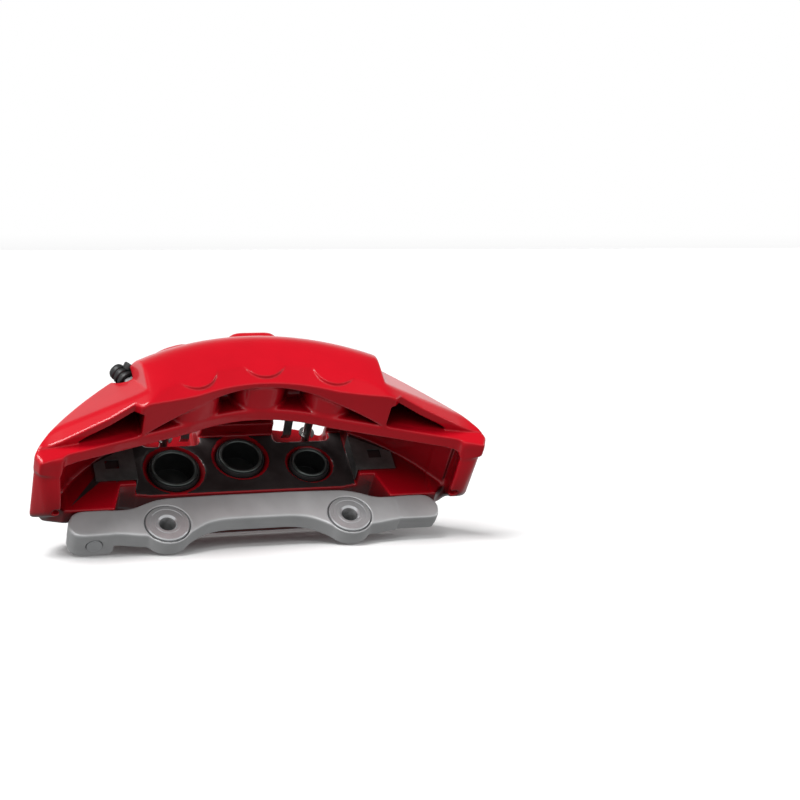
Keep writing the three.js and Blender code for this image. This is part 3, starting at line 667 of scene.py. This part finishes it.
# bracket
def bracket_field(s):
    lobe = []
    for a in np.radians(np.linspace(-145, -35, 13)):
        lobe.append((BUSH_X + LOBE_R * math.cos(a), BUSH_Z + LOBE_R * math.sin(a)))
    lower = [(28, 87.5), (41, 85), (51, 79.5), *lobe, (96, 75.5), (112, 78.5), (140, 77.5), (147, 80)]
    upper = [(150, 90), (146, 99), (140, 102.6), (99, 102.6), (84, 109.5), (72, 112), (30, 113)]
    right = [*lower, *upper]
    out = s.along_y(rounded([*right, *mirror(right)], 7), BRACKET_Y0, BRACKET_Y1, 2.4)
    shape = [(114, 78), (140, 77.5), (147, 80), (150, 90), (146, 99), (140, 102.6), (114, 102.6)]
    for _, d in SIDES:
        out = smin(out, s.along_y(rounded(on_side(shape, d), 5), BRACKET_Y0, 46, 2.4), 1.0)
    slope = [(BRACKET_Y0 + 1, 60), (60, 60), (60, 92.4), (BRACKET_Y0 + 1, 77.6)]
    out = smax(out, -smax(s.along_x(slope, 114, 170, 1.0), -(s.x - 114), 1.0), 2.0)
    for _, d in SIDES:
        out = smax(out, -s.rod_y(d * BUSH_X, BUSH_Z, 11.3, 0, 60), 0.6)
        out = smax(out, -s.rod_y(d * BUSH_X, BUSH_Z, 18, 0, BRACKET_Y0 + 4, 0.4), 0.9)
        out = smax(out, -s.rod_z(d * BOLT_X, BOLT_Y, 6.3, 60 if d < 0 else 90, 130), 0.8)
    return out


s = Space((-153, 18, 63), (153, 49, 116), 0.8)
bracket = s.mesh(bracket_field(s), "bracket", 90000)
paint(bracket, aluminium)
finish_piece(bracket, "root", "cast_aluminium", "mounting_bracket")

# pistons and their dust boots
for half, dy in HALVES:
    for which, side, r in PISTONS:
        cx, cz = piston_centre(side)
        origin = (cx, dy * HALF_IN, cz)
        axis = (0, dy, 0)
        cup = 0.85 * r
        profile = [(0, 28), (r - 1, 28), (r, 27), (r, 2.4), (r - 1.4, 2.2), (r - 1.4, 0.4), (r, 0.2),
                   (r, -1.3), (r - 0.7, -2), (cup + 0.7, -2), (cup, -1.2), (cup, 18), (0, 18)]
        piston = turned_piece(f"cup_{half}_{which}", eased(profile, 0.25), origin, axis, 96)
        paint(piston, piston_metal, piston_inside_painted_shade)
        # the cups' insides take the near black painted shade
        x, y, z = own_points(of_faces(piston, "center")).T
        depth = np.abs(y) - HALF_IN
        mark_faces(piston, (np.hypot(x - cx, z - cz) < cup + 0.1) & (depth < 18.3) & (depth > 0.4))
        finish_piece(piston, f"piston_{half}_{which}", "piston_metal", f"piston_{half}_{which}")
        folds = [(0.35, -0.7), (0.9, -1.0), (1.5, -0.5), (1.1, 0.3), (1.75, 1.0), (1.3, 1.8),
                 (1.8, 2.6), (1.8, 4.6), (0.6, 4.6), (0.6, 2.8), (0.8, 1.9), (0.4, 0.9)]
        profile = [(r + out, along) for out, along in folds]
        boot = turned_piece(f"bellows_{half}_{which}", eased(profile, 0.3), origin, axis, 72, 60)
        paint(boot, rubber)
        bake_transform(boot)
        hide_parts(f"boot_{half}_{which}")

# bushes, with the thread cut inside
for name, d in SIDES:
    y0 = BRACKET_Y0 - 0.8
    thread = [(6.05 if i % 2 else 6.6, 35.9 - 0.75 * i) for i in range(19)]
    profile = [(8.0, y0), (9.8, y0), (10.1, y0 + 0.35), (13.4, y0 + 0.35), (13.7, y0), (16.2, y0),
               (17, y0 + 0.8), (17, y0 + 4.5), (11, y0 + 4.5), (11, 36.2), (10.6, 36.6), (6.6, 36.6),
               *thread, (6.5, y0 + 1.5)]
    bush = turned_piece(f"bush_{name}", profile, (d * BUSH_X, 0, BUSH_Z), (0, 1, 0), 96)
    paint(bush, zinc, thread_dark)
    x, _, z = own_points(of_faces(bush, "center")).T
    mark_faces(bush, np.hypot(x - d * BUSH_X, z - BUSH_Z) < 7.0)
    finish_piece(bush, "root", "zinc_steel", f"bracket_bush_{name}")
    profile = [(0, -58), (3.1, -58), (3.5, -57.5), (3.5, 88.3), (5.1, 88.3), (5.5, 88.7), (5.5, 90.4),
               (4.9, 91), (2.6, 91), (2.3, 90.6), (2.3, 89.5), (0, 89.5)]
    pin = turned_piece(f"pin_{name}", profile, (d * PIN_X, 0, PIN_Z), (0, 1, 0), 40)
    paint(pin, steel)
    finish_piece(pin, "root", "stainless", f"pad_pin_{name}")

# bleed caps, with the loop of their strap
up = np.array([-math.sin(BLEED_ANGLE), 0, math.cos(BLEED_ANGLE)])
for half, dy in HALVES:
    seat = up * (BLEED_SEAT + GAP) + np.array([0, BLEED_Y[half], 0])
    profile = [(4.2, 7.6), (7.1, 7.6), (7.7, 8.2), (7.7, 10.4), (7.0, 11.1), (5.8, 11.7), (5.8, 12.6),
               (6.9, 13.4), (6.9, 15.6), (5.7, 16.3), (5.7, 17.3), (6.5, 18), (6.5, 20.6), (5.5, 22.6),
               (3.5, 23.5), (0, 23.5), (0, 19), (3.8, 19)]
    cap = turned_piece(f"cap_{half}", eased(profile, 0.4), seat, up, 48, 50)
    paint(cap, rubber)
    finish_piece(cap, f"bleed_cap_{half}", "black_rubber", f"bleed_cap_{half}")
    lean = np.array([0.62, dy * 0.55, 0.56])
    profile = [(2.4, 10.6), (2.4, 5.8), (4, 5.8), (4.3, 8.4), (4.6, 10.3), (4, 11), (3, 11.1)]
    loop = turned_piece(f"cap_loop_{half}", eased(profile, 0.3), seat + up * 14.2, lean, 36, 50)
    paint(loop, rubber)
    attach(loop, f"bleed_cap_{half}")

# CAD pieces shown as they are, with their edges broken
DRESS = {
    "radial_bolt": (zinc, 0.5),
    "bolt_washer": (zinc, 0.3),
    "pin_clip": (steel, 0.15),
    "pad_spring": (steel, 0.25),
    "abutment": (plate_metal, 0.2),
    "bleed_screw": (zinc, 0.25),
    "hose_port_plug": (plastic, 0.6),
    "seal": (rubber, 0),
}
for name, node in frame["nodes"].items():
    for start, (finish, width) in DRESS.items():
        if not name.startswith(start):
            continue
        paint(node, finish)
        if width:
            bevel = node.modifiers.new("edges", "BEVEL")
            bevel.width = width / 1000
            bevel.segments = 2
            bevel.limit_method = "ANGLE"
            bevel.angle_limit = math.radians(32)
            bevel.use_clamp_overlap = True
            bevel.harden_normals = True

# ---------------------------------------------------------------- stage, light and camera
bpy.ops.mesh.primitive_plane_add(size=40, location=(0, 6, 0))
floor = bpy.context.object
floor.name = "floor"
paint(floor, material("floor_white", (0.9, 0.9, 0.9), 0.7, specular=0.1))
floor.visible_diffuse = False
floor.visible_glossy = False


def aimed(name, data, location, backward):
    """A light or camera that looks against the vector backward."""
    o = bpy.data.objects.new(name, data)
    o.location = location
    o.rotation_mode = "QUATERNION"
    o.rotation_quaternion = Vector(backward).to_track_quat("Z", "Y")
    bpy.context.collection.objects.link(o)
    return o


for name, location, width, power in (("key", (-0.9, -2.0, 1.7), 0.9, 12), ("side", (2.2, -0.6, 1.0), 0.7, 5)):
    data = bpy.data.lights.new(name, "AREA")
    data.shape = "RECTANGLE"
    data.size = width
    data.size_y = 0.5
    data.energy = power
    aimed(name, data, location, Vector(location) - Vector((0, 0, 0.08)))
sun = bpy.data.lights.new("sun", "SUN")
sun.energy = 3.0
sun.angle = math.radians(30)
aimed("sun", sun, (0, 0, 0), (-0.5, -0.3, 1.0))

# light by direction: soft and even below, white at the horizon, dim overhead
world = bpy.data.worlds.new("studio")
bpy.context.scene.world = world
world.use_nodes = True
tree = world.node_tree
where = tree.nodes.new("ShaderNodeTexCoord")
split = tree.nodes.new("ShaderNodeSeparateXYZ")
height = tree.nodes.new("ShaderNodeMapRange")
height.inputs["From Min"].default_value = -1
sky = tree.nodes.new("ShaderNodeValToRGB")
for position, level in ((0.3, 0.3), (0.46, 0.5), (0.5, 1.0), (0.67, 1.0), (0.75, 0.62), (0.86, 0.2)):
    stop = sky.color_ramp.elements.new(position)
    stop.color = (level, level, level, 1)
sky.color_ramp.elements[0].color = (0.22, 0.22, 0.22, 1)
sky.color_ramp.elements[-1].color = (0.12, 0.12, 0.12, 1)
tree.links.new(where.outputs["Generated"], split.inputs[0])
tree.links.new(split.outputs["Z"], height.inputs["Value"])
tree.links.new(height.outputs["Result"], sky.inputs["Fac"])
tree.links.new(sky.outputs["Color"], tree.nodes["Background"].inputs["Color"])
tree.nodes["Background"].inputs["Strength"].default_value = 1.0

camera_data = bpy.data.cameras.new("camera")
camera_data.sensor_width = 36
camera_data.lens = 78.98
eye = row_points([(-333, -1021, -764)])[0].tolist()
bpy.context.scene.camera = aimed("camera", camera_data, eye, (-0.319, -0.943, 0.094))
bpy.context.scene.view_settings.view_transform = "Standard"
